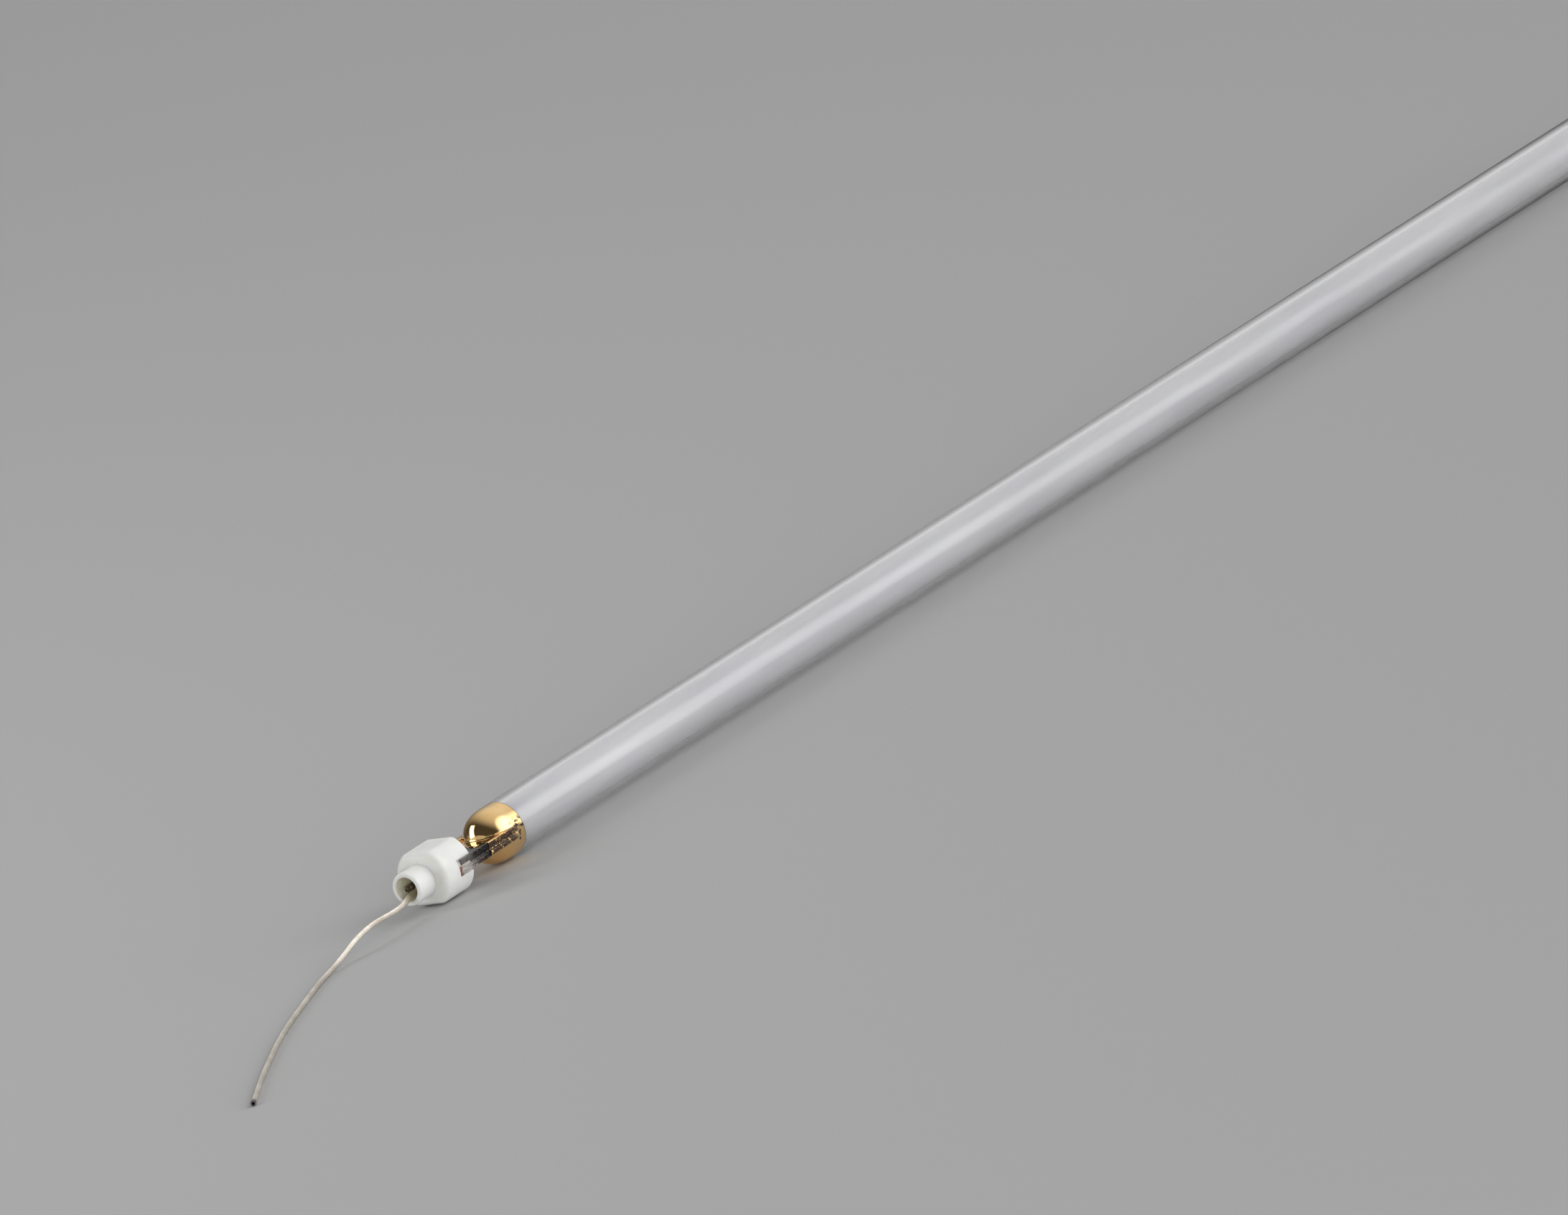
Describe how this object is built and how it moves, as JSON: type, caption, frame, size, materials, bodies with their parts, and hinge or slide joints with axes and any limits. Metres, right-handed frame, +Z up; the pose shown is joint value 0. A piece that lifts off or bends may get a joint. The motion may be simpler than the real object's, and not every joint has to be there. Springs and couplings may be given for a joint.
{
  "type": "uv tube lamp",
  "caption": "Slim double-ended quartz tube lamp with gold-coated pinched ends, slotted ceramic caps and a bare stranded lead, lying on its side.",
  "frame": {"origin": "on the floor under the middle of the tube", "axes": "+X along the tube away from the end with the lead, +Z up, square to the flats of the caps"},
  "size_m": [0.6286, 0.0462, 0.012],
  "materials": {
    "clear_quartz": "clear polished quartz",
    "milky_coat": "thin matt white coat on the bore",
    "gold_mirror": "bright fired gold",
    "white_ceramic": "unglazed white ceramic",
    "brown_cement": "rough fired cement",
    "dark_pin": "oxidised dark wire",
    "bright_foil": "thin rolled foil",
    "tungsten": "drawn grey wire",
    "nickel_strands": "bare twisted strands"
  },
  "bodies": {
    "root": {"quartz_envelope": "clear_quartz", "inner_haze": "milky_coat", "lead_wire": "nickel_strands", "left_gold_coat": "gold_mirror", "left_ceramic_cap": "white_ceramic", "left_cement": "brown_cement", "left_lead_pin": "dark_pin", "left_foil": "bright_foil", "left_electrode_rod": "tungsten", "left_electrode_coil": "tungsten", "right_gold_coat": "gold_mirror", "right_ceramic_cap": "white_ceramic", "right_cement": "brown_cement", "right_lead_pin": "dark_pin", "right_foil": "bright_foil", "right_electrode_rod": "tungsten", "right_electrode_coil": "tungsten"}
  },
  "joints": []
}
